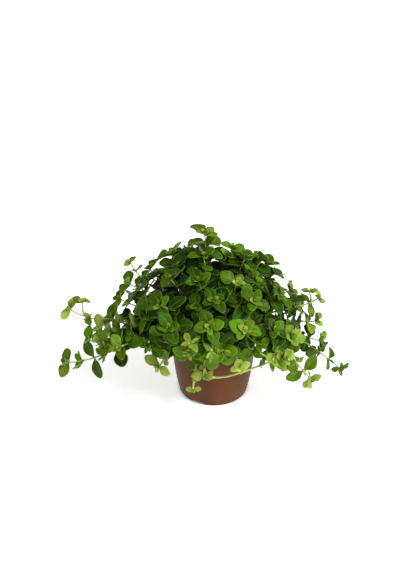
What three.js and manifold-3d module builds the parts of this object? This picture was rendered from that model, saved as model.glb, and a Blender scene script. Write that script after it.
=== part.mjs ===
// A potted peperomia: a brown nursery pot, its plug of peat and the rooted shoots that grow out of it.
// Millimetres and degrees. +Z is up, -Y is the front, and the origin is the middle of the pot's underside.
import * as THREE from "three";
import { mergeVertices } from "three/addons/utils/BufferGeometryUtils.js";
import Module from "manifold-3d";

const wasm = await Module();
wasm.setup();

// Pot
const potHeight = 96;
const rimRadius = 61.8;
const footRadius = 51;
const wall = 1.4;
const collarHeight = 12;
const collarStep = 0.8;
const footRise = 4.5;
const footPadRadius = 38;
const footBevel = 1.2;
const footRingTaper = 0.6;
const notchWidth = 20;
const notchCount = 3;
const notchTurn = -117;
const drainRadius = 4;
const drainCount = 6;
const drainSides = 10;
const potSides = 32;

// The side of the pot between foot and collar: shares of its height, and of its widening.
// It swells quickly over the rounded foot and is almost upright at the top.
const bodySwell = [
  [0.15, 0.3],
  [0.33, 0.58],
  [0.62, 0.9],
];

// Soil
const soilBelowRim = 5;
const soilClearance = 0.4;
const socketDepth = 4;
const socketClearance = 0.7;

// Stems
const stemRadius = 1.3;
const stemSides = 3;
const longestStep = 18;
const footMargin = 16;
const firstLean = 0.1;
const tipRun = 0.35;
const forkRun = 0.4;
const spreadScale = 1;
const riseScale = 1;

// Leaves
const leafLength = 29;
const leafWidth = 21.5;
const leafThickness = 1.5;
const leafRim = 0.9;
const leafCurl = 0.9;
const leafInset = 0.8;
const keelShare = 0.5;
const youngest = 0.6;
const ageStep = 0.2;
const leafVariation = 0.12;
const tipOpening = 46;
const openingStep = 12;
const openingVariation = 14;
const steepOpening = 20;
const spinVariation = 28;
const leafFlattening = 0.55;
const lightPull = 1.5;
const lightAzimuth = -90;
const lightHeight = 62;
const leafLift = 0.2;

// The least distance between two shoots, and the fineness that joined shoots are kept to.
const clearance = 0.3;
const fineness = 0.03;

// The shoots that give the plant its outline and its front.
// Of the tip: azimuth, distance past the rim, height over the rim, pitch and sideways turn. Then the height
// over the rim that the stem first makes for, its leaf pairs, the distance between them and the leaf size.
const shoots = {
  crown_top: [108, -20, 137, 84, 0, 60, 7, 12, 1.15],
  crown_left: [127, -5, 108, 66, 0, 50, 7, 12, 1],
  crown_middle: [126, -37, 112, 80, 0, 50, 7, 12, 1],
  crown_back: [62, -6, 110, 60, 0, 50, 7, 12, 1.05],
  crown_right: [34, -9, 104, 64, 0, 50, 7, 12, 1.05],
  shoulder_right_back: [32, 20, 94, 46, 0, 50, 6, 13, 1.05],
  shoulder_right_high: [18, 30, 80, 42, 0, 50, 6, 13, 1.05],
  shoulder_right_low: [10, 50, 58, 32, 0, 50, 6, 13, 0.9],
  shoulder_right_front: [-9, 29, 72, 38, 0, 45, 6, 14, 1],
  thin_right: [5, 90, 48, 36, 0, 40, 4, 15, 0.7],
  side_right: [0, 86, 18, 16, 0, 50, 6, 14, 0.9],
  side_right_low: [-7, 92, -4, -8, 0, 50, 6, 15, 0.9],
  trailing_right: [-9, 124, -45, -42, 0, 55, 6, 22, 0.75],
  pale_right: [-24, 57, 18, 30, 0, 45, 5, 13, 0.9],
  low_right: [-25, 88, -40, -48, 0, 50, 5, 16, 0.9],
  sprig_left_back: [143, 14, 84, 50, 0, 50, 7, 13, 0.95],
  sprig_left: [157, 39, 82, 48, 0, 50, 6, 13, 0.9],
  tiny_left: [166, 62, 98, 66, 0, 50, 6, 15, 0.6],
  rosette_left: [173, 60, 70, 24, 0, 50, 7, 13, 0.9],
  hook_left: [176, 74, 50, 40, 0, 45, 5, 15, 0.75],
  long_left: [180, 145, 37, 40, 0, 35, 4, 30, 0.75],
  fan_left: [-174, 101, 12, 8, 0, 40, 7, 14, 1.05],
  low_left: [-167, 150, -22, 10, 0, 45, 7, 19, 1],
  low_left_up: [-171, 118, 2, 30, 0, 50, 5, 18, 0.9],
  front_left_bright: [-134, 48, -8, -25, 0, 50, 5, 14, 0.95],
  front_left_dark: [-146, 45, 12, -20, 0, 50, 5, 15, 1],
  broad_left: [-143, 30, 74, 38, 0, 50, 5, 14, 1.1],
  front_high: [-91, 4, 88, 50, 0, 50, 7, 14, 1],
  front_top: [-53, -12, 100, 62, 0, 50, 7, 14, 1.05],
  front_right_high: [-49, 17, 82, 44, 0, 50, 6, 15, 1.15],
  front_middle: [-95, 30, 62, 30, 0, 50, 6, 15, 1.1],
  front_left_middle: [-126, 40, 56, 28, 0, 50, 6, 15, 1.05],
  front_right_middle: [-67, 35, 56, 26, 0, 50, 6, 15, 1.1],
  pale_upright: [-107, 48, 46, 62, 0, 30, 5, 13, 0.75],
  narrow_front: [-90, 46, 34, 46, 0, 40, 5, 13, 0.85],
  hanging_front: [-111, 22, -48, -72, 0, 50, 4, 15, 0.5],
  spoon_front: [-101, 18, -24, -66, 0, 45, 4, 14, 0.8],
  across_front: [-38, 56, 0, 14, 50, 45, 5, 16, 0.75],
  pale_front: [-70, 36, 2, -20, 0, 45, 5, 13, 0.85],
  inner_left: [-170, 0, 92, 58, 0, 50, 7, 13, 1],
  inner_left_low: [-160, 38, 46, 24, 0, 50, 6, 14, 1.1],
  inner_front: [-120, -18, 102, 64, 0, 50, 6, 14, 1],
  inner_right: [-20, -2, 92, 54, 0, 50, 7, 14, 1.05],
  inner_right_low: [-38, 40, 42, 20, 0, 50, 5, 15, 1.1],
};

// The rows of shoots that fill the far side: count, first and last azimuth, then as above.
const farRows = {
  crown_far: [3, 58, 140, 10, 94, 54, 0, 50, 6, 13, 1.1],
  shoulder_far: [4, 42, 150, 42, 60, 32, 0, 50, 6, 14, 1.1],
  skirt_far: [5, 22, 158, 60, 20, 6, 0, 50, 5, 15, 1.1],
  trailing_far: [2, 62, 118, 102, -44, -30, 0, 50, 5, 20, 0.9],
};

// Side stems, by the shoot they fork from. Of the tip: azimuth, distance past the rim, height over the rim
// and pitch. Then the joint they leave from, leaf pairs, distance between pairs and leaf size.
const sideStems = {
  front_middle: [-84, 36, 28, 0, 5, 4, 13, 1],
  front_left_middle: [-112, 36, 22, -6, 5, 4, 13, 1],
  front_right_middle: [-52, 36, 24, -4, 5, 4, 13, 1],
  front_left_dark: [-131, 30, 24, 0, 3, 3, 14, 1],
  broad_left: [-156, 34, 46, 16, 4, 3, 14, 1.05],
  inner_left_low: [-168, 60, 22, 0, 4, 4, 14, 1],
  inner_right_low: [-26, 54, 24, 4, 4, 4, 14, 1],
  pale_right: [-36, 54, 2, 0, 4, 4, 13, 0.9],
  rosette_left: [-178, 42, 46, 24, 4, 4, 14, 1],
  side_right: [6, 56, 32, 26, 4, 3, 14, 0.95],
  shoulder_right_high: [-1, 26, 52, 26, 4, 3, 14, 1],
  low_right: [-34, 60, -12, 0, 5, 3, 14, 0.8],
  thin_right: [3, 76, 62, 80, 8, 1, 14, 0.75],
  long_left: [-178, 126, 52, 84, 5, 1, 14, 0.8],
  low_left: [-160, 78, 4, -16, 4, 3, 15, 1],
  spoon_front: [-40, 52, 2, 34, 4, 2, 24, 0.8],
  crown_top: [62, -24, 106, 56, 6, 3, 12, 0.95],
  crown_left: [156, -2, 92, 48, 5, 3, 12, 0.95],
  crown_back: [48, 8, 90, 46, 5, 3, 12, 0.95],
  crown_right: [8, -10, 92, 54, 5, 3, 12, 0.95],
  crown_middle: [-160, -34, 100, 58, 5, 3, 12, 0.95],
  front_high: [-112, 4, 76, 44, 4, 3, 13, 0.95],
  front_top: [-76, -8, 90, 56, 4, 3, 13, 0.95],
  fan_left: [-178, 84, 24, 12, 6, 3, 13, 1],
  low_left_up: [-164, 96, 6, 12, 5, 2, 14, 0.9],
};

// Turns of a stem's foot round the pot, tried in this order until the stem is clear of the others.
const footTurns = [0, 7, -7, 14, -14, 21, -21, 30, -30, 40, -40, 52, -52];

// Turns of a side stem's tip, tried in the same way.
const sideTurns = [0, 5, -5, 10, -10, 16, -16, 24, -24, 34, -34];

// Changes of opening, of the way round the stem and of size, tried in this order for a leaf that has
// no room.
const leafWays = [
  [0, 0, 1],
  [-14, 0, 1],
  [14, 0, 1],
  [0, 24, 1],
  [0, -24, 1],
  [-28, 12, 0.95],
  [20, -40, 0.95],
  [-10, 44, 0.9],
  [-34, -24, 0.85],
  [10, 66, 0.85],
  [-20, -66, 0.8],
  [-44, 0, 0.75],
  [24, 30, 0.7],
  [-10, -50, 0.65],
  [-30, 80, 0.6],
  [0, 100, 0.55],
  [-40, -90, 0.5],
  [-50, 0, 0.4],
];

// The pale young growth at the front and the right.
const youngShoots = [
  "thin_right",
  "pale_right",
  "low_right",
  "front_left_bright",
  "pale_upright",
  "narrow_front",
  "hanging_front",
  "spoon_front",
  "across_front",
  "pale_front",
];

const colours = { pot: 0x7c4d37, soil: 0x2c1e15, foliage: 0x35601a, youngFoliage: 0x6f9a30 };

const radians = THREE.MathUtils.degToRad;
const up = new THREE.Vector3(0, 0, 1);

// A repeatable number from 0 to 1 for each three counters.
function chance(a, b, c) {
  const value = Math.sin(a * 12.9898 + b * 78.233 + c * 37.719) * 43758.5453;
  return value - Math.floor(value);
}

function polar(azimuth, radius, height) {
  const angle = radians(azimuth);
  return new THREE.Vector3(radius * Math.cos(angle), radius * Math.sin(angle), height);
}

function solidFromArrays(positions, triangles) {
  return new wasm.Manifold(
    new wasm.Mesh({
      numProp: 3,
      vertProperties: new Float32Array(positions),
      triVerts: new Uint32Array(triangles),
    }),
  );
}

function solidFrom(geometry) {
  geometry.deleteAttribute("normal");
  geometry.deleteAttribute("uv");
  const merged = mergeVertices(geometry, 1e-3);
  return solidFromArrays(merged.attributes.position.array, merged.index.array);
}

// A solid turned about the vertical axis from radius and height pairs.
function turned(profile, sides) {
  const points = profile.map(([radius, height]) => new THREE.Vector2(radius, height));
  return solidFrom(new THREE.LatheGeometry(points, sides).rotateX(Math.PI / 2));
}

function meshFrom(solid, name, colour, roughness) {
  const made = solid.getMesh();
  const geometry = new THREE.BufferGeometry();
  geometry.setAttribute("position", new THREE.BufferAttribute(made.vertProperties, made.numProp));
  geometry.setIndex(new THREE.BufferAttribute(made.triVerts, 1));
  geometry.computeVertexNormals();
  const material = new THREE.MeshStandardMaterial({ color: colour, roughness, metalness: 0 });
  const mesh = new THREE.Mesh(geometry, material);
  mesh.name = name;
  return mesh;
}

function wallRadius(share) {
  return footRadius + (rimRadius - collarStep - footRadius) * share;
}

// The pot's sloping side, moved inwards by an inset.
function swollenSide(inset) {
  return bodySwell.map(([rise, share]) => [wallRadius(share) - inset, potHeight * rise]);
}

// The pot stands on a flat pad and a foot ring. Between them its floor is raised, with the drain holes in
// it, and the notches in the foot ring let the water out.
function buildPot() {
  const floorTop = footRise + wall;
  const channelInner = footPadRadius + wall;
  const ringInner = footRadius - wall - footRingTaper;
  const collarFoot = potHeight - collarHeight;
  const profile = [
    [0, 0],
    [footPadRadius, 0],
    [channelInner, footRise],
    [ringInner, footRise],
    [ringInner, 0],
    [footRadius - footBevel, 0],
    [footRadius, footBevel],
    ...swollenSide(0),
    [wallRadius(1), collarFoot - collarStep],
    [rimRadius, collarFoot],
    [rimRadius, potHeight],
    [rimRadius - wall, potHeight],
    [rimRadius - wall, collarFoot],
    [wallRadius(1) - wall, collarFoot - collarStep],
    ...swollenSide(wall).reverse(),
    [footRadius - wall, floorTop],
    [channelInner - wall, floorTop],
    [footPadRadius - wall, wall],
    [0, wall],
  ];
  let pot = turned(profile, potSides);
  for (let k = 0; k < notchCount; k++) {
    const notchHeight = 2 * (footRise - clearance);
    const notch = new THREE.BoxGeometry(2 * (wall + footRingTaper + footBevel), notchWidth, notchHeight);
    notch.translate(ringInner + wall, 0, 0);
    notch.rotateZ(radians(notchTurn + (360 * k) / notchCount));
    pot = pot.subtract(solidFrom(notch));
  }
  for (let k = 0; k < drainCount; k++) {
    const hole = new THREE.CylinderGeometry(drainRadius, drainRadius, 4 * footRise, drainSides);
    hole.rotateX(Math.PI / 2);
    hole.translate((channelInner + ringInner) / 2, 0, 0);
    hole.rotateZ(radians(notchTurn + (360 * (k + 0.5)) / drainCount));
    pot = pot.subtract(solidFrom(hole));
  }
  return pot.simplify(fineness);
}

const soilTop = potHeight - soilBelowRim;
const light = polar(lightAzimuth, Math.cos(radians(lightHeight)), Math.sin(radians(lightHeight)));

// The peat takes the shape of the pot's inside, less a clearance, with a socket for every stem.
function buildSoil(sockets) {
  const gap = wall + soilClearance;
  const profile = [
    [0, gap],
    [footPadRadius - gap, gap],
    [footPadRadius - soilClearance, footRise + gap],
    [footRadius - gap, footRise + gap],
    ...swollenSide(gap),
    [wallRadius(1) - gap, soilTop],
    [0, soilTop],
  ];
  return turned(profile, potSides).subtract(wasm.Manifold.union(sockets)).simplify(fineness);
}

// The stem of a shoot is one smooth curve from its foot in the soil, up, over the rim and out to its tip.
// A shoot that ends low has its foot near the pot's wall, and one that ends high near the middle.
function stemCurve([azimuth, beyond, rise, pitch, turn, lift], footTurn) {
  const reach = rimRadius + beyond * spreadScale;
  const tip = polar(azimuth, reach, potHeight + rise * riseScale);
  const slope = Math.atan2(rise, reach) / (Math.PI / 2);
  const footSpread = rimRadius - wall - footMargin;
  const footAzimuth = azimuth - turn / 2;
  const foot = polar(footAzimuth + footTurn, footSpread * Math.min(1, 1 - slope), soilTop - socketDepth);
  const span = foot.distanceTo(tip);
  const heading = polar(azimuth + turn, Math.cos(radians(pitch)), Math.sin(radians(pitch)));
  const first = foot.clone().add(polar(footAzimuth, firstLean * span, 0));
  first.z = potHeight + lift;
  const last = tip.clone().addScaledVector(heading, -tipRun * span);
  return new THREE.CubicBezierCurve3(foot, first, last, tip);
}

// A side stem leaves its parent along the parent's own line and bends away to its tip.
function sideCurve(parent, share, [azimuth, beyond, rise, pitch], tipTurn) {
  const reach = rimRadius + beyond * spreadScale;
  const tip = polar(azimuth + tipTurn, reach, potHeight + rise * riseScale);
  const fork = parent.getPointAt(share);
  const span = fork.distanceTo(tip);
  const heading = polar(azimuth, Math.cos(radians(pitch)), Math.sin(radians(pitch)));
  const first = fork.clone().addScaledVector(parent.getTangentAt(share), forkRun * span);
  const last = tip.clone().addScaledVector(heading, -tipRun * span);
  return new THREE.CubicBezierCurve3(fork, first, last, tip);
}

// A stem with its joints, where the leaf pairs sit, evenly spaced along it.
function stemOn(curve, radius, pace, pairs) {
  const joints = Math.max(Math.round(curve.getLength() / pace), pairs);
  const steps = pace > longestStep ? 2 * joints : joints;
  const section = new THREE.Shape();
  for (let k = 0; k < stemSides; k++) {
    const angle = (2 * Math.PI * k) / stemSides;
    const corner = [radius * Math.cos(angle), radius * Math.sin(angle)];
    if (k === 0) {
      section.moveTo(...corner);
    } else {
      section.lineTo(...corner);
    }
  }
  section.closePath();
  const solid = solidFrom(new THREE.ExtrudeGeometry(section, { steps, extrudePath: curve }));
  return { curve, joints, steps, solid };
}

// The socket of a stem: the stem again, a little wider and starting a little lower.
function socketFor(curve, pace, pairs) {
  const bottom = curve.getPoint(0).addScaledVector(curve.getTangent(0), -socketClearance);
  const bore = new THREE.CubicBezierCurve3(bottom, curve.v1, curve.v2, curve.v3);
  return stemOn(bore, stemRadius + socketClearance, pace, pairs).solid;
}

// A leaf's frame: where it leaves the stem, its midrib, its upper side and the direction across it.
function leafFrame({ curve, steps }, azimuth, share, around, open) {
  const joint = curve.getPointAt(share);
  const along = joint.clone().sub(curve.getPointAt(share - 1 / steps)).normalize();
  const side = polar(azimuth + 90, 1, 0);
  side.addScaledVector(along, -side.dot(along)).normalize();
  const above = along.clone().cross(side);
  const steepness = Math.abs(along.z);
  const opened = open + radians(steepOpening) * steepness;
  const out = side.clone().multiplyScalar(Math.cos(around));
  out.addScaledVector(above, Math.sin(around) * (1 - leafFlattening * (1 - steepness))).normalize();
  const midrib = along.clone().multiplyScalar(Math.cos(opened));
  midrib.addScaledVector(out, Math.sin(opened)).addScaledVector(up, leafLift).normalize();
  const face = along.clone().addScaledVector(light, lightPull);
  face.addScaledVector(midrib, -face.dot(midrib)).normalize();
  const base = joint.addScaledVector(along, -leafInset);
  return { base, midrib, face, across: face.clone().cross(midrib) };
}

// The blade is spoon-shaped: a gently folded upper side over a keeled underside.
// Its points are shares of its length and width, and heights over the midrib.
const bladePoints = [
  [0, 0, 0],
  [0.48, -0.48, leafRim],
  [0.94, -0.3, -leafCurl],
  [0.94, 0.3, -leafCurl],
  [0.48, 0.48, leafRim],
  [keelShare, 0, -leafThickness],
];
const bladeFaces = [
  [0, 1, 4],
  [1, 2, 3],
  [1, 3, 4],
  [1, 0, 5],
  [2, 1, 5],
  [3, 2, 5],
  [4, 3, 5],
  [0, 4, 5],
];

function leafSolid({ base, midrib, across, face }, size) {
  const points = bladePoints.map(([x, y, z]) =>
    base
      .clone()
      .addScaledVector(midrib, x * leafLength * size)
      .addScaledVector(across, y * leafWidth * size)
      .addScaledVector(face, z)
      .toArray(),
  );
  return solidFromArrays(points.flat(), bladeFaces.flat());
}

// Everything that already stands, with its box and its owner, so that what grows next keeps clear of it.
const standing = [];

function stand(solid, owner) {
  standing.push({ solid, owner, box: solid.boundingBox() });
}

function boxesApart(a, b) {
  return [0, 1, 2].some((k) => a.min[k] > b.max[k] + clearance || b.min[k] > a.max[k] + clearance);
}

function isClear(solid, ignored) {
  const box = solid.boundingBox();
  return standing.every(
    (other) =>
      ignored.includes(other.owner) ||
      boxesApart(box, other.box) ||
      solid.minGap(other.solid, 2 * clearance) >= clearance,
  );
}

// The first way of making a stem that leaves it clear, or the last way where none does.
function firstClear(turns, make, ignored) {
  let stem = null;
  for (const turn of turns) {
    stem = make(turn);
    if (isClear(stem.solid, ignored)) {
      break;
    }
  }
  return stem;
}

// The leaves of one stem, in opposite pairs. The two youngest pairs share its tip, and each pair sits a
// quarter turn round from the last.
function growLeaves(stem, azimuth, pairs, size, seed, branch, ownStem) {
  const leaves = [];
  const spin = 45 + spinVariation * (2 * chance(seed, 7, branch) - 1);
  for (let pair = 0; pair < pairs; pair++) {
    const share = 1 - Math.max(0, pair - 1) / stem.joints;
    const owner = [ownStem, share].join();
    const age = Math.min(1, youngest + ageStep * pair);
    const opening = tipOpening + openingStep * Math.min(pair, 2);
    for (let half = 0; half < 2; half++) {
      const fuller = 1 + leafVariation * (2 * chance(seed, pair, half) - 1);
      const open = opening + openingVariation * chance(seed, pair, half + 2);
      const around = spin + 90 * pair + 180 * half;
      for (const [openMore, roundMore, shrink] of leafWays) {
        const angles = [radians(around + roundMore), radians(open + openMore)];
        const frame = leafFrame(stem, azimuth, share, ...angles);
        const leaf = leafSolid(frame, size * age * fuller * shrink);
        if (isClear(leaf, [ownStem, owner])) {
          stand(leaf, owner);
          leaves.push(leaf);
          break;
        }
      }
    }
  }
  return leaves;
}

// The outer skin of joined pieces, without any pocket that they close in where they cross.
function joined(pieces) {
  const bodies = wasm.Manifold.union(pieces).simplify(fineness).decompose();
  return bodies.sort((a, b) => b.volume() - a.volume())[0];
}

const plan = Object.entries(shoots).map(([name, row]) => ({ name, row }));
for (const [name, [count, first, last, beyond, rise, ...rest]] of Object.entries(farRows)) {
  for (let k = 0; k < count; k++) {
    const azimuth = first + ((last - first) * k) / (count - 1);
    const row = [azimuth, beyond + 12 * chance(k, count, 1), rise + 14 * chance(k, count, 2), ...rest];
    plan.push({ name: name + "_" + (k + 1), row });
  }
}

const pot = buildPot();
stand(pot, "pot");

for (const shoot of plan) {
  const [pairs, pace] = shoot.row.slice(6);
  const make = (turn) => stemOn(stemCurve(shoot.row, turn), stemRadius, pace, pairs);
  shoot.main = firstClear(footTurns, make, []);
  stand(shoot.main.solid, shoot.name);
}

const soil = buildSoil(plan.map(({ row, main }) => socketFor(main.curve, row[7], row[6])));
stand(soil, "soil");

for (const shoot of plan.filter(({ name }) => sideStems[name])) {
  const row = sideStems[shoot.name];
  const [fork, pairs, pace] = row.slice(4);
  const share = fork / shoot.main.joints;
  const make = (turn) => stemOn(sideCurve(shoot.main.curve, share, row, turn), stemRadius, pace, pairs);
  shoot.side = firstClear(sideTurns, make, [shoot.name]);
  stand(shoot.side.solid, shoot.name + "_side");
}

plan.forEach((shoot, seed) => {
  const { name, row, main, side } = shoot;
  const pieces = [main.solid, ...growLeaves(main, row[0], row[6], row[8], seed, 0, name)];
  if (side) {
    const [azimuth, , , , , pairs, , size] = sideStems[name];
    pieces.push(side.solid, ...growLeaves(side, azimuth, pairs, size, seed, 1, name + "_side"));
  }
  shoot.solid = joined(pieces);
});

const plant = new THREE.Group();
plant.name = "potted_peperomia";
plant.add(meshFrom(pot, "pot", colours.pot, 0.6));
plant.add(meshFrom(soil, "soil", colours.soil, 1));
for (const { name, solid } of plan) {
  const colour = youngShoots.includes(name) ? colours.youngFoliage : colours.foliage;
  plant.add(meshFrom(solid, name, colour, 0.4));
}
export default plant;
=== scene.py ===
# Potted peperomia: the looks. Metres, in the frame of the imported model.
import math
import random
import bpy
import bmesh
from mathutils import Matrix, Vector, noise
from mathutils.kdtree import KDTree


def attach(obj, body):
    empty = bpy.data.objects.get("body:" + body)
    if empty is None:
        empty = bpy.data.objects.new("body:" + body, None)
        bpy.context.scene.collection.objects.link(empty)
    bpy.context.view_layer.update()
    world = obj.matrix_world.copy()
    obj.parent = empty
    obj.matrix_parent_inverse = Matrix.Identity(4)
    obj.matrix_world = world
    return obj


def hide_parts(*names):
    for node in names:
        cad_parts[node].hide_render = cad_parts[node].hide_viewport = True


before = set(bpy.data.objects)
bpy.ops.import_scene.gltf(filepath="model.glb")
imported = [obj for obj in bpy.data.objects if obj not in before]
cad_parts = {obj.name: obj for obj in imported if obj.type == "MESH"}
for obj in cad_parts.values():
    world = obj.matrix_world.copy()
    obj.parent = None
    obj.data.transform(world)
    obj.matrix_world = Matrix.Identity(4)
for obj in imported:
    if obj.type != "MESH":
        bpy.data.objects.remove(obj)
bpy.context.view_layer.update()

mm = 0.001
up = Vector((0, 0, 1))
white = (1, 1, 1, 1)
mergeDistance = 1e-6


# Numbers, places and objects.

def chance(a, b, c):  # a repeatable number from 0 to 1, the same as the growing rule's
    value = math.sin(a * 12.9898 + b * 78.233 + c * 37.719) * 43758.5453
    return value - math.floor(value)


def polar(azimuth, radius, height):  # millimetres and degrees
    angle = math.radians(azimuth)
    return Vector((radius * math.cos(angle), radius * math.sin(angle), height))


def objectFrom(bm, name):
    mesh = bpy.data.meshes.new(name)
    bm.to_mesh(mesh)
    bm.free()
    made = bpy.data.objects.new(name, mesh)
    bpy.context.scene.collection.objects.link(made)
    return made


def pieceFromBmesh(bm, name, materials, nodes):
    piece = objectFrom(bm, name)
    for material in materials:
        piece.data.materials.append(material)
    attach(piece, "root")
    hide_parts(*nodes)


# Material building.

class Shade:  # short calls for one material's nodes
    def __init__(self, name):
        self.material = bpy.data.materials.new(name)
        self.material.use_nodes = True
        self.tree = self.material.node_tree
        self.shader = self.tree.nodes["Principled BSDF"]

    def node(self, kind, **values):
        made = self.tree.nodes.new(kind)
        for key, value in values.items():
            setattr(made, key, value)
        return made

    def link(self, source, target):
        self.tree.links.new(source, target)

    def feed(self, socket, value):
        if hasattr(value, "is_output"):
            self.link(value, socket)
        else:
            socket.default_value = value

    def math(self, operation, a, b=0.0, c=0.0):
        made = self.node("ShaderNodeMath", operation=operation)
        for socket, value in zip(made.inputs, (a, b, c)):
            self.feed(socket, value)
        return made.outputs[0]

    def step(self, value, low, high, below=0.0, above=1.0):  # a soft step, from one value to another
        made = self.node("ShaderNodeMapRange", interpolation_type="SMOOTHSTEP")
        for socket, given in zip(made.inputs, (value, low, high, below, above)):
            self.feed(socket, given)
        return made.outputs[0]

    def mix(self, factor, a, b):
        made = self.node("ShaderNodeMix", data_type="RGBA")
        self.feed(made.inputs[0], factor)
        self.feed(made.inputs[6], a)
        self.feed(made.inputs[7], b)
        return made.outputs[2]

    def ramp(self, value, stops):
        made = self.node("ShaderNodeValToRGB")
        while len(made.color_ramp.elements) < len(stops):
            made.color_ramp.elements.new(0.5)
        for element, (place, colour) in zip(made.color_ramp.elements, stops):
            element.position = place
            element.color = colour
        self.feed(made.inputs[0], value)
        return made.outputs[0]

    def attribute(self, name):
        return self.node("ShaderNodeAttribute", attribute_name=name).outputs["Fac"]

    def objectNoise(self, scale, detail=3.0, rough=0.5, stretch=(1, 1, 1)):
        coords = self.node("ShaderNodeTexCoord")
        mapping = self.node("ShaderNodeMapping")
        mapping.inputs["Scale"].default_value = stretch
        self.link(coords.outputs["Object"], mapping.inputs["Vector"])
        made = self.node("ShaderNodeTexNoise")
        made.inputs["Scale"].default_value = scale
        made.inputs["Detail"].default_value = detail
        made.inputs["Roughness"].default_value = rough
        self.link(mapping.outputs[0], made.inputs["Vector"])
        return made.outputs["Fac"]

    def bump(self, height, strength, distance):
        made = self.node("ShaderNodeBump")
        made.inputs["Strength"].default_value = strength
        made.inputs["Distance"].default_value = distance
        self.link(height, made.inputs["Height"])
        self.link(made.outputs[0], self.shader.inputs["Normal"])


# Leaf, stem, pot and peat finishes.

leafFinish = {
    # Colours along the age. Age also carries painted light on the plant's top and ends, towards young, and
    # painted shade deep inside it, towards old.
    "young": (0.450, 0.550, 0.100, 1),
    "fresh": (0.094, 0.204, 0.002, 1),
    "grown": (0.030, 0.082, 0.001, 1),
    "old": (0.012, 0.034, 0.001, 1),
    "freshAge": 0.35,
    "grownAge": 0.7,
    "underside": (0.235, 0.340, 0.090, 1),
    "undersideShare": 0.7,
    "margin": (0.230, 0.360, 0.030, 1),
    "marginShare": 0.42,
    "marginBand": (0.84, 0.97),  # from the midrib at 0 to the edge at 1
    "tipBand": (0.955, 0.995),  # from the stalk at 0 to the tip at 1
    "midrib": (0.150, 0.280, 0.015, 1),
    "ribBand": (0.03, 0.16, 1.0, 0.0),
    "ribFade": (0.25, 0.9, 0.62, 0.12),
    "stalkFade": (0.05, 0.24, 0.75, 0.0),
    "mottle": (0.82, 1.16),
    "toneValue": (0.8, 1.25),
    "toneHue": (0.49, 0.512),
    "roughness": 0.31,
    "undersideRoughness": 0.6,
    "roughPatches": (-0.06, 0.08),
    "specular": 0.09,
    "subsurface": 0.12,
    "subsurfaceRadius": (0.5, 1.0, 0.2),
    "subsurfaceScale": 0.0012,
    "veinRate": 44.0,
    "veinSlant": 7.0,
    "veinHeight": 0.2,
    "grooveDepth": 0.8,
    "grainHeight": 0.35,
    "relief": 0.35,
    "reliefDepth": 0.0003,
}


def leafTone(shade, colour, tone):  # mottles a leaf, and sets it a little apart from the next one
    look = leafFinish
    mottle = shade.step(shade.objectNoise(scale=260, detail=4, rough=0.6), 0.3, 0.7, *look["mottle"])
    swing = shade.math("MULTIPLY", mottle, shade.step(tone, 0, 1, *look["toneValue"]))
    scaled = shade.node("ShaderNodeHueSaturation")
    shade.link(colour, scaled.inputs["Color"])
    shade.link(swing, scaled.inputs["Value"])
    shade.link(shade.step(tone, 0, 1, *look["toneHue"]), scaled.inputs["Hue"])
    return scaled.outputs[0]


def leafMaterial():
    shade = Shade("glossy leaf")
    look = leafFinish
    uv = shade.node("ShaderNodeUVMap", uv_map="blade")
    split = shade.node("ShaderNodeSeparateXYZ")
    shade.link(uv.outputs[0], split.inputs[0])
    along = split.outputs[0]
    across = shade.math("ABSOLUTE", shade.math("MULTIPLY_ADD", split.outputs[1], 2.0, -1.0))
    age = shade.attribute("age")
    tone = shade.attribute("tone")
    under = shade.attribute("underside")

    stops = [(0.0, look["young"]), (look["freshAge"], look["fresh"]), (look["grownAge"], look["grown"]),
             (1.0, look["old"])]
    colour = leafTone(shade, shade.ramp(age, stops), tone)

    rim = shade.step(across, *look["marginBand"])
    tip = shade.step(along, *look["tipBand"])
    edge = shade.math("MULTIPLY", shade.math("MAXIMUM", rim, tip), look["marginShare"])
    colour = shade.mix(edge, colour, look["margin"])
    rib = shade.step(across, *look["ribBand"])
    ribShare = shade.math("MULTIPLY", rib, shade.step(along, *look["ribFade"]))
    colour = shade.mix(ribShare, colour, look["midrib"])
    colour = shade.mix(shade.step(along, *look["stalkFade"]), colour, look["margin"])
    colour = shade.mix(shade.math("MULTIPLY", under, look["undersideShare"]), colour, look["underside"])
    shade.link(colour, shade.shader.inputs["Base Color"])

    patches = shade.step(shade.objectNoise(scale=90, detail=2), 0.35, 0.65, *look["roughPatches"])
    sides = shade.step(under, 0, 1, look["roughness"], look["undersideRoughness"])
    shade.link(shade.math("ADD", sides, patches), shade.shader.inputs["Roughness"])
    shade.shader.inputs["Subsurface Weight"].default_value = look["subsurface"]
    shade.shader.inputs["Subsurface Radius"].default_value = look["subsurfaceRadius"]
    shade.shader.inputs["Subsurface Scale"].default_value = look["subsurfaceScale"]
    shade.shader.inputs["Specular IOR Level"].default_value = look["specular"]

    ripple = shade.math("MULTIPLY", along, look["veinRate"])
    slant = shade.math("MULTIPLY_ADD", across, -look["veinSlant"], ripple)
    veins = shade.math("MULTIPLY", shade.math("SINE", slant), look["veinHeight"])
    groove = shade.math("MULTIPLY", rib, -look["grooveDepth"])
    grain = shade.math("MULTIPLY", shade.objectNoise(scale=900, detail=2), look["grainHeight"])
    height = shade.math("ADD", shade.math("ADD", veins, groove), grain)
    shade.bump(height, look["relief"], look["reliefDepth"])
    return shade.material


stemFinish = {
    "young": (0.62, 0.68, 0.22, 1),
    "grown": (0.42, 0.50, 0.12, 1),
    "old": (0.10, 0.10, 0.03, 1),
    "grownAge": 0.45,
    "streak": (0.16, 0.11, 0.05, 1),
    "streakShare": 0.22,
    "roughness": (0.38, 0.55),
    "subsurface": 0.1,
    "subsurfaceScale": 0.001,
    "relief": 0.25,
    "reliefDepth": 0.0002,
}


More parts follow.
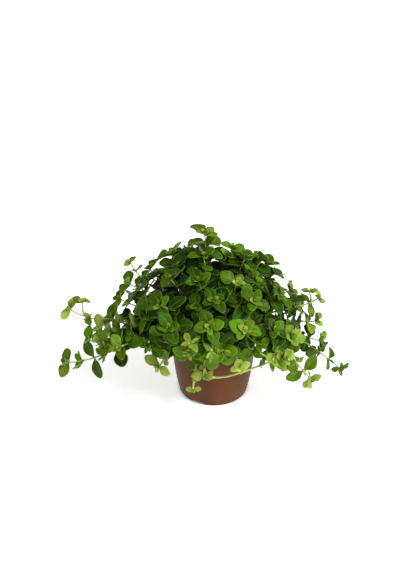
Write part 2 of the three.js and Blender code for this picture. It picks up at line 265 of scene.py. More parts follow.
def stemMaterial():
    shade = Shade("fleshy stem")
    look = stemFinish
    stops = [(0.0, look["young"]), (look["grownAge"], look["grown"]), (1.0, look["old"])]
    colour = shade.ramp(shade.attribute("age"), stops)
    streak = shade.step(shade.objectNoise(scale=400), 0.35, 0.65, 0.0, look["streakShare"])
    shade.link(shade.mix(streak, colour, look["streak"]), shade.shader.inputs["Base Color"])
    rough = shade.step(shade.objectNoise(scale=200, detail=2), 0.3, 0.7, *look["roughness"])
    shade.link(rough, shade.shader.inputs["Roughness"])
    shade.shader.inputs["Subsurface Weight"].default_value = look["subsurface"]
    shade.shader.inputs["Subsurface Scale"].default_value = look["subsurfaceScale"]
    shade.bump(shade.objectNoise(scale=1200, detail=2), look["relief"], look["reliefDepth"])
    return shade.material


potFinish = {
    "dark": (0.088, 0.024, 0.005, 1),
    "light": (0.124, 0.038, 0.010, 1),
    "dust": (0.190, 0.080, 0.040, 1),
    "dustShare": 0.22,
    "scuff": (0.180, 0.074, 0.036, 1),
    "scuffShare": 0.2,
    "scuffStretch": (1, 1, 5),
    "scuffDepth": 0.6,
    "roughness": (0.42, 0.56),
    "specular": 0.16,
    "relief": 0.18,
    "reliefDepth": 0.0002,
}


def potMaterial():
    shade = Shade("brown pot plastic")
    look = potFinish
    cloud = shade.objectNoise(scale=22, detail=4, rough=0.6)
    colour = shade.mix(shade.step(cloud, 0.35, 0.65), look["dark"], look["light"])
    specks = shade.objectNoise(scale=70, detail=6, rough=0.7)
    dust = shade.step(specks, 0.56, 0.75, 0.0, look["dustShare"])
    colour = shade.mix(dust, colour, look["dust"])
    rubbed = shade.objectNoise(scale=60, detail=5, rough=0.65, stretch=look["scuffStretch"])
    scuffs = shade.step(rubbed, 0.62, 0.72, 0.0, look["scuffShare"])
    colour = shade.mix(scuffs, colour, look["scuff"])
    shade.link(colour, shade.shader.inputs["Base Color"])
    shade.link(shade.step(cloud, 0.3, 0.7, *look["roughness"]), shade.shader.inputs["Roughness"])
    shade.shader.inputs["Specular IOR Level"].default_value = look["specular"]
    worn = shade.math("MULTIPLY", scuffs, -look["scuffDepth"])
    height = shade.math("ADD", shade.objectNoise(scale=1500, detail=2), worn)
    shade.bump(height, look["relief"], look["reliefDepth"])
    return shade.material


peatFinish = {
    "wet": (0.008, 0.005, 0.003, 1),
    "damp": (0.032, 0.018, 0.010, 1),
    "dry": (0.105, 0.062, 0.035, 1),
    "roughness": 0.95,
    "relief": 0.8,
    "reliefDepth": 0.0012,
}


def peatMaterial():
    shade = Shade("damp peat")
    look = peatFinish
    grit = shade.objectNoise(scale=420, detail=6, rough=0.75)
    colour = shade.ramp(grit, [(0.3, look["wet"]), (0.55, look["damp"]), (0.75, look["dry"])])
    shade.link(colour, shade.shader.inputs["Base Color"])
    shade.shader.inputs["Roughness"].default_value = look["roughness"]
    shade.bump(grit, look["relief"], look["reliefDepth"])
    return shade.material


leafSkin = leafMaterial()
stemSkin = stemMaterial()
potSkin = potMaterial()
peatSkin = peatMaterial()
print("finishes made")


# Pot.

pot = {
    "height": 96, "rimRadius": 61.8, "footRadius": 51, "wall": 1.4, "sides": 96,
    "collarHeight": 12, "collarStep": 0.8,
    "collarEdge": (0.15, 0.3, 0.2),  # the slant at its foot: how far set in, how far below and above the foot
    "lip": 0.6, "lipRound": 0.3, "mouthEdge": (0.3, 0.4),
    "bodySwell": [(0.15, 0.3), (0.33, 0.58), (0.62, 0.9)],  # shares of the height, and of the widening there
    "swellSteps": 4,
    "footRise": 4.5, "footPadRadius": 38, "footBevel": 1.2, "bevelMiddle": (0.5, 0.25),
    "footRingTaper": 0.6, "footRingEdge": 0.3,
    "notchWidth": 20, "notchCount": 3, "notchTurn": -117, "notchBelowFloor": 0.3,
    "notchBevel": 1.2, "notchBevelSteps": 3,
    "drainRadius": 4, "drainCount": 6, "drainSides": 24,
    "sharpAngle": 32,
}


def wallRadius(share):
    return pot["footRadius"] + (pot["rimRadius"] - pot["collarStep"] - pot["footRadius"]) * share


def smoothPoint(before, a, b, after, t):  # on a smooth line through the points, from a at 0 to b at 1
    return tuple(0.5 * (2 * a[i] + (b[i] - before[i]) * t
                        + (2 * before[i] - 5 * a[i] + 4 * b[i] - after[i]) * t ** 2
                        + (3 * a[i] - before[i] - 3 * b[i] + after[i]) * t ** 3) for i in (0, 1))


def swollenSide(inset):  # one smooth line through the swelling's points, from the foot to the collar
    points = [(pot["footRadius"], pot["footBevel"])]
    points += [(wallRadius(share), pot["height"] * rise) for rise, share in pot["bodySwell"]]
    points.append((wallRadius(1), pot["height"] - pot["collarHeight"] - pot["collarStep"]))
    side = []
    for k in range(1, len(points)):
        before, after = points[max(k - 2, 0)], points[min(k + 1, len(points) - 1)]
        for j in range(pot["swellSteps"]):
            side.append(smoothPoint(before, points[k - 1], points[k], after, j / pot["swellSteps"]))
    side.append(points[-1])
    floor = pot["footRise"] + inset if inset else 0  # an inner side ends where it meets the floor
    return [(radius - inset, height) for radius, height in side[1:] if height > floor]


def spun(profile, sides):
    bm = bmesh.new()
    verts = [bm.verts.new((radius * mm, 0, height * mm)) for radius, height in profile]
    edges = [bm.edges.new(pair) for pair in zip(verts, verts[1:])]
    bmesh.ops.spin(bm, geom=verts + edges, cent=(0, 0, 0), axis=(0, 0, 1), dvec=(0, 0, 0),
                   angle=2 * math.pi, steps=sides, use_merge=True, use_duplicate=False)
    bmesh.ops.remove_doubles(bm, verts=bm.verts, dist=mergeDistance)
    bmesh.ops.recalc_face_normals(bm, faces=bm.faces)
    return bm


def cutAway(body, cutter):
    modifier = body.modifiers.new("cut", "BOOLEAN")
    modifier.operation = "DIFFERENCE"
    modifier.solver = "EXACT"
    modifier.object = cutter
    cut = bpy.data.meshes.new_from_object(body.evaluated_get(bpy.context.evaluated_depsgraph_get()))
    body.modifiers.clear()
    body.data = cut
    bpy.data.objects.remove(cutter)


def cutAround(body, bm, name, radius, azimuth):  # cuts with a shape moved out and turned round the pot
    bmesh.ops.translate(bm, verts=bm.verts, vec=(radius * mm, 0, 0))
    turn = Matrix.Rotation(math.radians(azimuth), 3, "Z")
    bmesh.ops.rotate(bm, verts=bm.verts, cent=(0, 0, 0), matrix=turn)
    cutAway(body, objectFrom(bm, name))


def cutNotch(body, azimuth):
    depth = 2 * (pot["wall"] + pot["footRingTaper"] + pot["footBevel"])
    height = 2 * (pot["footRise"] - pot["notchBelowFloor"])  # its lower half is below the pot
    bm = bmesh.new()
    bmesh.ops.create_cube(bm, size=1)
    bmesh.ops.scale(bm, verts=bm.verts, vec=Vector((depth, pot["notchWidth"], height)) * mm)
    through = [edge for edge in bm.edges if abs(edge.verts[0].co.x - edge.verts[1].co.x) > mergeDistance]
    bmesh.ops.bevel(bm, geom=through, offset=pot["notchBevel"] * mm, offset_type="OFFSET", affect="EDGES",
                    segments=pot["notchBevelSteps"], profile=0.5, material=-1)
    cutAround(body, bm, "notch", pot["footRadius"] - pot["footRingTaper"], azimuth)


def drill(body, radius, azimuth):
    bm = bmesh.new()
    bmesh.ops.create_cone(bm, cap_ends=True, segments=pot["drainSides"], radius1=pot["drainRadius"] * mm,
                          radius2=pot["drainRadius"] * mm, depth=4 * pot["footRise"] * mm)
    cutAround(body, bm, "drain", radius, azimuth)


def potProfile():  # from the middle of the underside, round the outside and back to the middle of the floor
    wall, lip, step, bevel = pot["wall"], pot["lip"], pot["collarStep"], pot["footBevel"]
    rim, height, foot, rise = pot["rimRadius"], pot["height"], pot["footRadius"], pot["footRise"]
    pad, ringEdge, lipRound = pot["footPadRadius"], pot["footRingEdge"], pot["lipRound"] * pot["lip"]
    channel = pad + wall
    ring = foot - wall - pot["footRingTaper"]
    collarFoot = height - pot["collarHeight"]
    setIn, below, above = pot["collarEdge"]
    bevelIn, bevelUp = pot["bevelMiddle"]
    mouthIn, mouthDown = pot["mouthEdge"]
    return [(0, 0), (pad, 0), (channel, rise), (ring, rise), (ring, ringEdge), (ring + ringEdge, 0),
            (foot - bevel, 0), (foot - bevelIn * bevel, bevelUp * bevel), (foot, bevel), *swollenSide(0),
            (rim - setIn, collarFoot - below), (rim, collarFoot + above),
            (rim, height - lip), (rim - lipRound, height - lipRound), (rim - lip, height),
            (rim - wall + mouthIn, height), (rim - wall, height - mouthDown),
            (rim - wall, collarFoot), (wallRadius(1) - wall, collarFoot - step),
            *reversed(swollenSide(wall)[:-1]),
            (foot - wall, rise + wall), (channel - wall, rise + wall), (pad - wall, wall), (0, wall)]


def makePot():
    body = objectFrom(spun(potProfile(), pot["sides"]), "nursery_pot")
    for k in range(pot["notchCount"]):
        cutNotch(body, pot["notchTurn"] + 360 * k / pot["notchCount"])
    channelMiddle = (pot["footPadRadius"] + pot["footRadius"] - pot["footRingTaper"]) / 2
    for k in range(pot["drainCount"]):
        drill(body, channelMiddle, pot["notchTurn"] + 360 * (k + 0.5) / pot["drainCount"])
    bm = bmesh.new()
    bm.from_mesh(body.data)
    bpy.data.objects.remove(body)
    bmesh.ops.remove_doubles(bm, verts=bm.verts, dist=mergeDistance)
    for face in bm.faces:
        face.smooth = True
    sharp = math.radians(pot["sharpAngle"])
    for edge in bm.edges:
        edge.smooth = len(edge.link_faces) == 2 and edge.calc_face_angle(0) < sharp
    pieceFromBmesh(bm, "nursery_pot", [potSkin], ["pot"])


makePot()
print("pot made")


# Peat.

peat = {
    "top": 91, "shoulder": 3, "edgeDrop": 0.6, "rings": 14, "sides": 72, "gap": 0.4,
    "heave": 1.5, "heaveBand": 0.5, "heaveScale": 90, "heaveNoise": (0.8, 2.0, 3),
    "crumbs": 150, "crumbSize": (0.8, 2.4), "crumbWidth": (0.5, 0.9), "crumbHeight": 0.5,
    "crumbJitter": (0.75, 1.2), "crumbInset": 3, "crumbLift": 0.5, "seed": 4,
}


def addCrumb(bm, edge, draw):
    reach = edge - peat["crumbInset"]
    spot = polar(draw.uniform(0, 360), reach * math.sqrt(draw.random()), peat["top"] + peat["crumbLift"]) * mm
    size = draw.uniform(*peat["crumbSize"]) * mm
    added = bmesh.ops.create_icosphere(bm, subdivisions=1, radius=1)["verts"]
    shape = Matrix.Translation(spot) @ Matrix.Rotation(draw.uniform(0, 6), 4, "Z")
    width = size * draw.uniform(*peat["crumbWidth"])
    shape = shape @ Matrix.Diagonal((size, width, size * peat["crumbHeight"], 1))
    for vert in added:
        vert.co *= draw.uniform(*peat["crumbJitter"])
    bmesh.ops.transform(bm, matrix=shape, verts=added)


def makePeat():
    gap = pot["wall"] + peat["gap"]
    edge = wallRadius(1) - gap
    profile = [(0, gap), (pot["footPadRadius"] - gap, gap),
               (pot["footPadRadius"] - peat["gap"], pot["footRise"] + gap),
               (pot["footRadius"] - gap, pot["footRise"] + gap), *swollenSide(gap)[:-1],
               (edge, peat["top"] - peat["shoulder"]), (edge, peat["top"] - peat["edgeDrop"])]
    profile += [(edge * (1 - k / peat["rings"]), peat["top"]) for k in range(1, peat["rings"])]
    profile.append((0, peat["top"]))
    bm = spun(profile, peat["sides"])
    for vert in bm.verts:
        if vert.co.z > (peat["top"] - peat["heaveBand"]) * mm:
            heave = noise.fractal(vert.co * peat["heaveScale"], *peat["heaveNoise"])
            vert.co.z += peat["heave"] * mm * heave
    draw = random.Random(peat["seed"])
    for _ in range(peat["crumbs"]):
        addCrumb(bm, edge, draw)
    for face in bm.faces:
        face.smooth = True
    pieceFromBmesh(bm, "peat_plug", [peatSkin], ["soil"])


makePeat()
print("peat made")


# Growing rule, the same as the solids'.

# Of the tip: azimuth, distance past the rim, height over the rim, pitch and sideways turn. Then the height
# over the rim that the stem first makes for, its leaf pairs, the distance between them and the leaf size.
shoots = {
    "crown_top": [108, -20, 137, 84, 0, 60, 7, 12, 1.15],
    "crown_left": [127, -5, 108, 66, 0, 50, 7, 12, 1],
    "crown_middle": [126, -37, 112, 80, 0, 50, 7, 12, 1],
    "crown_back": [62, -6, 110, 60, 0, 50, 7, 12, 1.05],
    "crown_right": [34, -9, 104, 64, 0, 50, 7, 12, 1.05],
    "shoulder_right_back": [32, 20, 94, 46, 0, 50, 6, 13, 1.05],
    "shoulder_right_high": [18, 30, 80, 42, 0, 50, 6, 13, 1.05],
    "shoulder_right_low": [10, 50, 58, 32, 0, 50, 6, 13, 0.9],
    "shoulder_right_front": [-9, 29, 72, 38, 0, 45, 6, 14, 1],
    "thin_right": [5, 90, 48, 36, 0, 40, 4, 15, 0.7],
    "side_right": [0, 86, 18, 16, 0, 50, 6, 14, 0.9],
    "side_right_low": [-7, 92, -4, -8, 0, 50, 6, 15, 0.9],
    "trailing_right": [-9, 124, -45, -42, 0, 55, 6, 22, 0.75],
    "pale_right": [-24, 57, 18, 30, 0, 45, 5, 13, 0.9],
    "low_right": [-25, 88, -40, -48, 0, 50, 5, 16, 0.9],
    "sprig_left_back": [143, 14, 84, 50, 0, 50, 7, 13, 0.95],
    "sprig_left": [157, 39, 82, 48, 0, 50, 6, 13, 0.9],
    "tiny_left": [166, 62, 98, 66, 0, 50, 6, 15, 0.6],
    "rosette_left": [173, 60, 70, 24, 0, 50, 7, 13, 0.9],
    "hook_left": [176, 74, 50, 40, 0, 45, 5, 15, 0.75],
    "long_left": [180, 145, 37, 40, 0, 35, 4, 30, 0.75],
    "fan_left": [-174, 101, 12, 8, 0, 40, 7, 14, 1.05],
    "low_left": [-167, 150, -22, 10, 0, 45, 7, 19, 1],
    "low_left_up": [-171, 118, 2, 30, 0, 50, 5, 18, 0.9],
    "front_left_bright": [-134, 48, -8, -25, 0, 50, 5, 14, 0.95],
    "front_left_dark": [-146, 45, 12, -20, 0, 50, 5, 15, 1],
    "broad_left": [-143, 30, 74, 38, 0, 50, 5, 14, 1.1],
    "front_high": [-91, 4, 88, 50, 0, 50, 7, 14, 1],
    "front_top": [-53, -12, 100, 62, 0, 50, 7, 14, 1.05],
    "front_right_high": [-49, 17, 82, 44, 0, 50, 6, 15, 1.15],
    "front_middle": [-95, 30, 62, 30, 0, 50, 6, 15, 1.1],
    "front_left_middle": [-126, 40, 56, 28, 0, 50, 6, 15, 1.05],
    "front_right_middle": [-67, 35, 56, 26, 0, 50, 6, 15, 1.1],
    "pale_upright": [-107, 48, 46, 62, 0, 30, 5, 13, 0.75],
    "narrow_front": [-90, 46, 34, 46, 0, 40, 5, 13, 0.85],
    "hanging_front": [-111, 22, -48, -72, 0, 50, 4, 15, 0.5],
    "spoon_front": [-101, 18, -24, -66, 0, 45, 4, 14, 0.8],
    "across_front": [-38, 56, 0, 14, 50, 45, 5, 16, 0.75],
    "pale_front": [-70, 36, 2, -20, 0, 45, 5, 13, 0.85],
    "inner_left": [-170, 0, 92, 58, 0, 50, 7, 13, 1],
    "inner_left_low": [-160, 38, 46, 24, 0, 50, 6, 14, 1.1],
    "inner_front": [-120, -18, 102, 64, 0, 50, 6, 14, 1],
    "inner_right": [-20, -2, 92, 54, 0, 50, 7, 14, 1.05],
    "inner_right_low": [-38, 40, 42, 20, 0, 50, 5, 15, 1.1],
}

# Rows of shoots on the far side: count, first and last azimuth, then as above.
farScatter = {"beyond": 12, "rise": 14}
farRows = {
    "crown_far": [3, 58, 140, 10, 94, 54, 0, 50, 6, 13, 1.1],
    "shoulder_far": [4, 42, 150, 42, 60, 32, 0, 50, 6, 14, 1.1],
    "skirt_far": [5, 22, 158, 60, 20, 6, 0, 50, 5, 15, 1.1],
    "trailing_far": [2, 62, 118, 102, -44, -30, 0, 50, 5, 20, 0.9],
}

# Side stems: azimuth, distance past the rim, height over the rim and pitch of the tip. Then the joint they
# leave from, leaf pairs, distance between pairs and leaf size.
sideStems = {
    "front_middle": [-84, 36, 28, 0, 5, 4, 13, 1],
    "front_left_middle": [-112, 36, 22, -6, 5, 4, 13, 1],
    "front_right_middle": [-52, 36, 24, -4, 5, 4, 13, 1],
    "front_left_dark": [-131, 30, 24, 0, 3, 3, 14, 1],
    "broad_left": [-156, 34, 46, 16, 4, 3, 14, 1.05],
    "inner_left_low": [-168, 60, 22, 0, 4, 4, 14, 1],
    "inner_right_low": [-26, 54, 24, 4, 4, 4, 14, 1],
    "pale_right": [-36, 54, 2, 0, 4, 4, 13, 0.9],
    "rosette_left": [-178, 42, 46, 24, 4, 4, 14, 1],
    "side_right": [6, 56, 32, 26, 4, 3, 14, 0.95],
    "shoulder_right_high": [-1, 26, 52, 26, 4, 3, 14, 1],
    "low_right": [-34, 60, -12, 0, 5, 3, 14, 0.8],
    "thin_right": [3, 76, 62, 80, 8, 1, 14, 0.75],
    "long_left": [-178, 126, 52, 84, 5, 1, 14, 0.8],
    "low_left": [-160, 78, 4, -16, 4, 3, 15, 1],
    "spoon_front": [-40, 52, 2, 34, 4, 2, 24, 0.8],
    "crown_top": [62, -24, 106, 56, 6, 3, 12, 0.95],
    "crown_left": [156, -2, 92, 48, 5, 3, 12, 0.95],
    "crown_back": [48, 8, 90, 46, 5, 3, 12, 0.95],
    "crown_right": [8, -10, 92, 54, 5, 3, 12, 0.95],
    "crown_middle": [-160, -34, 100, 58, 5, 3, 12, 0.95],
    "front_high": [-112, 4, 76, 44, 4, 3, 13, 0.95],
    "front_top": [-76, -8, 90, 56, 4, 3, 13, 0.95],
    "fan_left": [-178, 84, 24, 12, 6, 3, 13, 1],
    "low_left_up": [-164, 96, 6, 12, 5, 2, 14, 0.9],
}

footTurns = [0, 7, -7, 14, -14, 21, -21, 30, -30, 40, -40, 52, -52]
sideTurns = [0, 5, -5, 10, -10, 16, -16, 24, -24, 34, -34]

# Changes of opening, of the way round the stem and of size that a leaf may have been given.
leafWays = [
    [0, 0, 1],
    [-14, 0, 1],
    [14, 0, 1],
    [0, 24, 1],
    [0, -24, 1],
    [-28, 12, 0.95],
    [20, -40, 0.95],
    [-10, 44, 0.9],
    [-34, -24, 0.85],
    [10, 66, 0.85],
    [-20, -66, 0.8],
    [-44, 0, 0.75],
    [24, 30, 0.7],
    [-10, -50, 0.65],
    [-30, 80, 0.6],
    [0, 100, 0.55],
    [-40, -90, 0.5],
    [-50, 0, 0.4],
]

youngShoots = [
    "thin_right",
    "pale_right",
    "low_right",
    "front_left_bright",
    "pale_upright",
    "narrow_front",
    "hanging_front",
    "spoon_front",
    "across_front",
    "pale_front",
]

stem = {
    "radius": 1.3, "longestStep": 18, "footMargin": 16, "firstLean": 0.1, "tipRun": 0.35, "forkRun": 0.4,
    "socketDepth": 4, "soilBelowRim": 5, "spreadScale": 1, "riseScale": 1,
}
leaf = {  # "shoulder" and "end" are shares of the solid leaf's length, and of its width to each side
    "length": 29, "width": 21.5, "thickness": 1.5, "rim": 0.9, "curl": 0.9, "inset": 0.8, "keelShare": 0.5,
    "youngest": 0.6, "ageStep": 0.2, "variation": 0.12, "tipOpening": 46, "openingStep": 12,
    "openingVariation": 14, "steepOpening": 20, "spinVariation": 28, "flattening": 0.55,
    "lightPull": 1.5, "lightAzimuth": -90, "lightHeight": 62, "lift": 0.2, "lowest": 1.01,
    "shoulder": (0.48, 0.48), "end": (0.94, 0.3), "found": 0.05, "cornersNeeded": 3,
}
light = polar(leaf["lightAzimuth"], math.cos(math.radians(leaf["lightHeight"])),
              math.sin(math.radians(leaf["lightHeight"])))


class Curve:  # one cubic curve, with places given as shares of its length
    steps = 200
    near = 1e-4

    def __init__(self, *handles):
        self.handles = handles
        marks = [self.at(k / self.steps) for k in range(self.steps + 1)]
        self.lengths = [0.0]
        for a, b in zip(marks, marks[1:]):
            self.lengths.append(self.lengths[-1] + (b - a).length)

    def at(self, t):
        a, b, c, d = self.handles
        s = 1 - t
        return a * s ** 3 + b * (3 * s * s * t) + c * (3 * s * t * t) + d * t ** 3

    def place(self, share):
        target = min(max(share, 0), 1) * self.lengths[-1]
        k = 0
        while k < self.steps - 1 and self.lengths[k + 1] < target:
            k += 1
        part = (target - self.lengths[k]) / (self.lengths[k + 1] - self.lengths[k])
        return self.at((k + part) / self.steps)

    def direction(self, share):
        ahead, behind = self.place(min(share + self.near, 1)), self.place(max(share - self.near, 0))
        return (ahead - behind).normalized()


def stemCurve(row, footTurn):
    azimuth, beyond, rise, pitch, turn, lift = row[:6]
    reach = pot["rimRadius"] + beyond * stem["spreadScale"]
    tip = polar(azimuth, reach, pot["height"] + rise * stem["riseScale"])
    slope = math.atan2(rise, reach) / (math.pi / 2)
    footSpread = pot["rimRadius"] - pot["wall"] - stem["footMargin"]
    footAzimuth = azimuth - turn / 2
    soilTop = pot["height"] - stem["soilBelowRim"]
    foot = polar(footAzimuth + footTurn, footSpread * min(1, 1 - slope), soilTop - stem["socketDepth"])
    span = (tip - foot).length
    heading = polar(azimuth + turn, math.cos(math.radians(pitch)), math.sin(math.radians(pitch)))
    first = foot + polar(footAzimuth, stem["firstLean"] * span, 0)
    first.z = pot["height"] + lift
    return Curve(foot, first, tip - heading * stem["tipRun"] * span, tip)


def sideCurve(parent, share, row, tipTurn):
    azimuth, beyond, rise, pitch = row[:4]
    reach = pot["rimRadius"] + beyond * stem["spreadScale"]
    tip = polar(azimuth + tipTurn, reach, pot["height"] + rise * stem["riseScale"])
    fork = parent.place(share)
    span = (tip - fork).length
    heading = polar(azimuth, math.cos(math.radians(pitch)), math.sin(math.radians(pitch)))
    first = fork + parent.direction(share) * stem["forkRun"] * span
    return Curve(fork, first, tip - heading * stem["tipRun"] * span, tip)


def stemJoints(curve, pace, pairs):
    joints = max(math.floor(curve.lengths[-1] / pace + 0.5), pairs)
    return joints, 2 * joints if pace > stem["longestStep"] else joints


def leafFrame(curve, steps, azimuth, share, around, opening):
    share = max(share, leaf["lowest"] / steps)
    joint = curve.place(share)
    along = (joint - curve.place(share - 1 / steps)).normalized()
    side = polar(azimuth + 90, 1, 0)
    side = (side - along * side.dot(along)).normalized()
    above = along.cross(side)
    steepness = abs(along.z)
    around, opening = math.radians(around), math.radians(opening + leaf["steepOpening"] * steepness)
    out = side * math.cos(around) + above * math.sin(around) * (1 - leaf["flattening"] * (1 - steepness))
    out.normalize()
    midrib = (along * math.cos(opening) + out * math.sin(opening) + up * leaf["lift"]).normalized()
    face = along + light * leaf["lightPull"]
    face = (face - midrib * face.dot(midrib)).normalized()
    return joint - along * leaf["inset"], midrib, face.cross(midrib), face


def bladeCorners(place, size):  # where the solid leaf's corners are, in millimetres
    base, midrib, across, face = place
    (wide, halfWide), (end, halfEnd) = leaf["shoulder"], leaf["end"]
    corners = [(wide, -halfWide, leaf["rim"]), (end, -halfEnd, -leaf["curl"]), (end, halfEnd, -leaf["curl"]),
               (wide, halfWide, leaf["rim"]), (leaf["keelShare"], 0, -leaf["thickness"])]
    return [base + midrib * (x * leaf["length"] * size) + across * (y * leaf["width"] * size) + face * z
            for x, y, z in corners]


class Solid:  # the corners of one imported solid, which show how a stem or a leaf was turned there
    def __init__(self, node):
        corners = {tuple(round(value / mm, 3) for value in vertex.co) for vertex in node.data.vertices}
        self.tree = KDTree(len(corners))
        for k, corner in enumerate(sorted(corners)):
            self.tree.insert(corner, k)
        self.tree.balance()

    def ringError(self, centre):  # how badly the nearest corners fit a stem's end ring
        return sum(abs(distance - stem["radius"]) for _, _, distance in self.tree.find_n(centre, 3))

    def matches(self, points):
        return sum(self.tree.find(point)[2] < leaf["found"] for point in points)


def leafPlaces(curve, azimuth, pairs, pace, size, seed, branch, solid):
    joints, steps = stemJoints(curve, pace, pairs)
    spin = 45 + leaf["spinVariation"] * (2 * chance(seed, 7, branch) - 1)
    places = []
    for pair in range(pairs):
        share = 1 - max(0, pair - 1) / joints
        age = min(1, leaf["youngest"] + leaf["ageStep"] * pair)
        opening = leaf["tipOpening"] + leaf["openingStep"] * min(pair, 2)
        for half in range(2):
            fuller = 1 + leaf["variation"] * (2 * chance(seed, pair, half) - 1)
            opened = opening + leaf["openingVariation"] * chance(seed, pair, half + 2)
            around = spin + 90 * pair + 180 * half
            most, chosen = leaf["cornersNeeded"] - 1, None
            for openMore, roundMore, shrink in leafWays:
                place = leafFrame(curve, steps, azimuth, share, around + roundMore, opened + openMore)
                grown = size * age * fuller * shrink
                found = solid.matches(bladeCorners(place, grown))
                if found > most:
                    most, chosen = found, (place, grown, pair)
            if chosen:
                places.append(chosen)
    return places


def isInside(spot):  # whether a spot is within the dense middle of the plant
    return spot.xy.length < pot["rimRadius"] + inner["reach"] and spot.z > pot["height"] + inner["rise"]


def innerPlaces(curve, azimuth, pairs, pace, draw):  # older leaves, deep in the plant and under the others; their darkest colour is partly age and partly painted shade
    joints, steps = stemJoints(curve, pace, pairs)
    places = []
    for joint in range(pairs - 1, joints):
        share = 1 - joint / joints
        if not isInside(curve.place(share)):
            continue
        turn = 45 + 90 * joint + draw.uniform(-inner["spin"], inner["spin"])
        for half in range(2):
            opening = draw.uniform(*inner["opening"])
            place = leafFrame(curve, steps, azimuth, share, turn + 180 * half, opening)
            places.append((place, draw.uniform(*inner["size"])))
    return places


def axilPlaces(curve, azimuth, pairs, pace, draw):  # small leaves, crosswise between the pairs
    joints, steps = stemJoints(curve, pace, pairs)
    places = []
    for joint in range(1, joints):
        share = 1 - joint / joints
        if draw.random() > axil["share"] or joint >= pairs and not isInside(curve.place(share)):
            continue
        turn = draw.uniform(0, 360)
        for half in range(2):
            opening = draw.uniform(*axil["opening"])
            place = leafFrame(curve, steps, azimuth, share, turn + 180 * half, opening)
            places.append((place, draw.uniform(*axil["size"]), joint))
    return places


# Drawing a shoot. Lengths are in millimetres and angles in degrees. Leaf sizes are shares of a full leaf, and
# a blade's own measures are shares of its length. An age goes from 0, pale and young, to 1, dark and old.
# Besides real age, it carries painted light on the plant's top and ends and painted shade deep inside it.

inner = {"reach": 78, "rise": 0, "opening": (50, 85), "spin": 24, "size": (0.55, 0.9)}
axil = {"share": 0.85, "opening": (30, 62), "size": (0.3, 0.66)}
bud = {
    "leaves": 5, "size": (0.2, 0.44), "opening": (14, 56), "turn": 137.5, "inset": 0.5,
    "firstAge": (0.37, 0.72), "youthAndLightPaling": 0.32,
    "youthAndLightReach": 90, "youthAndLightRise": (85, 145),  # past the rim, and over it, where shoots are paler: partly fresher growth, partly painted light on the plant's top and ends
}
ages = {
    "young": 0.04, "youngStep": 0.11, "youngSpread": 0.12, "step": 0.08, "stepByAge": 0.2, "spread": 0.1,
    "inner": (0.85, 1), "axilShare": 0.6, "youngBud": (0, 0.1), "budShare": (0.4, 0.85),
    "stem": (1.0, 0.35), "youngStem": (0.35, 0.0),  # at the foot and at the tip
}
blade = {
    "rows": 8, "columns": 4, "widest": 0.56, "wedge": 1.15, "stalk": 0.1, "tipReach": 0.87,
    "tipPower": 1.75, "tipRound": 0.7, "cup": (0.04, 0.3), "cupPower": 1.3, "cupFade": 0.4,
    "curl": (0.0, 0.26), "wave": 0.03, "waveAlong": 9, "waveAcross": 2, "twist": 24, "roll": 15,
    "pitch": 0.14, "sway": 0.07, "thickness": 0.032, "width": (0.84, 1.08), "slimness": 0.66,
    "facesDown": -0.3,
}
slimShoots = ["pale_upright", "narrow_front"]  # young shoots whose leaves are still narrow
tube = {
    "sides": 8, "rings": 20, "foot": 1.5, "sideFoot": 1.35, "tip": 0.85, "youngFlesh": 1.3,
    "knuckle": 0.22, "knuckleReach": 1.6,
}
firstSeed = 11


def halfWidth(share):
    widest = blade["widest"]
    if share < widest:
        wedge = math.sin(math.pi / 2 * share / widest) ** blade["wedge"]
        return 0.5 * max(blade["stalk"], wedge)
    beyond = (share - widest) / (1 - widest)
    return 0.5 * max(0, 1 - beyond ** blade["tipPower"]) ** blade["tipRound"]


def newShoot():
    bm = bmesh.new()
    bm.loops.layers.uv.new("blade")
    bm.verts.layers.float.new("age")
    bm.verts.layers.float.new("tone")
    bm.faces.layers.float.new("underside")
    return bm


def growBlade(bm, place, size, age, slimness, draw):
    ageLayer, toneLayer = bm.verts.layers.float["age"], bm.verts.layers.float["tone"]
    underLayer = bm.faces.layers.float["underside"]
    vertCount, faceCount = len(bm.verts), len(bm.faces)
    made = bmesh.ops.create_grid(bm, x_segments=blade["rows"], y_segments=blade["columns"], size=0.5,
                                 calc_uvs=True)
    cup, curl = draw.uniform(*blade["cup"]), draw.uniform(*blade["curl"])
    twist, sway = math.radians(draw.uniform(-1, 1) * blade["twist"]), draw.uniform(-1, 1) * blade["sway"]
    wave, pitch = draw.uniform(-1, 1) * blade["wave"], draw.uniform(-1, 1) * blade["pitch"]
    roll = math.radians(draw.uniform(-1, 1) * blade["roll"])
    width = slimness * leaf["width"] / leaf["length"] * draw.uniform(*blade["width"])
    for vert in made["verts"]:
        u, t = vert.co.x + 0.5, 2 * vert.co.y  # along from 0 to 1, and across from -1 to 1
        reach = blade["tipReach"] * u
        x = u + (reach - u) * t * t
        y = halfWidth(reach) * width * t
        cupped = abs(t) ** blade["cupPower"] * 2 * halfWidth(reach) * (1 - blade["cupFade"] * u)
        waved = math.sin(blade["waveAlong"] * u + blade["waveAcross"] * t) * t * t
        z = cup * cupped - curl * u * u + wave * waved + pitch * u
        turn = roll + twist * u
        vert.co = (x, y * math.cos(turn) - z * math.sin(turn) + sway * math.sin(math.pi * u),
                   z * math.cos(turn) + y * math.sin(turn))
    bm.faces.ensure_lookup_table()
    bmesh.ops.solidify(bm, geom=bm.faces[faceCount:], thickness=blade["thickness"])
    bm.verts.ensure_lookup_table()
    bm.faces.ensure_lookup_table()
    verts, faces = bm.verts[vertCount:], bm.faces[faceCount:]
    for face in faces:
        face.normal_update()
        face.smooth = True
        face[underLayer] = 1.0 if face.normal.z < blade["facesDown"] else 0.0
    base, midrib, across, normal = place
    tone = draw.random()
    for vert in verts:
        vert[ageLayer] = age
        vert[toneLayer] = tone
    grow = Matrix((midrib, across, normal)).transposed().to_4x4() @ Matrix.Scale(leaf["length"] * size, 4)
    bmesh.ops.transform(bm, matrix=Matrix.Scale(mm, 4) @ Matrix.Translation(base) @ grow, verts=verts)


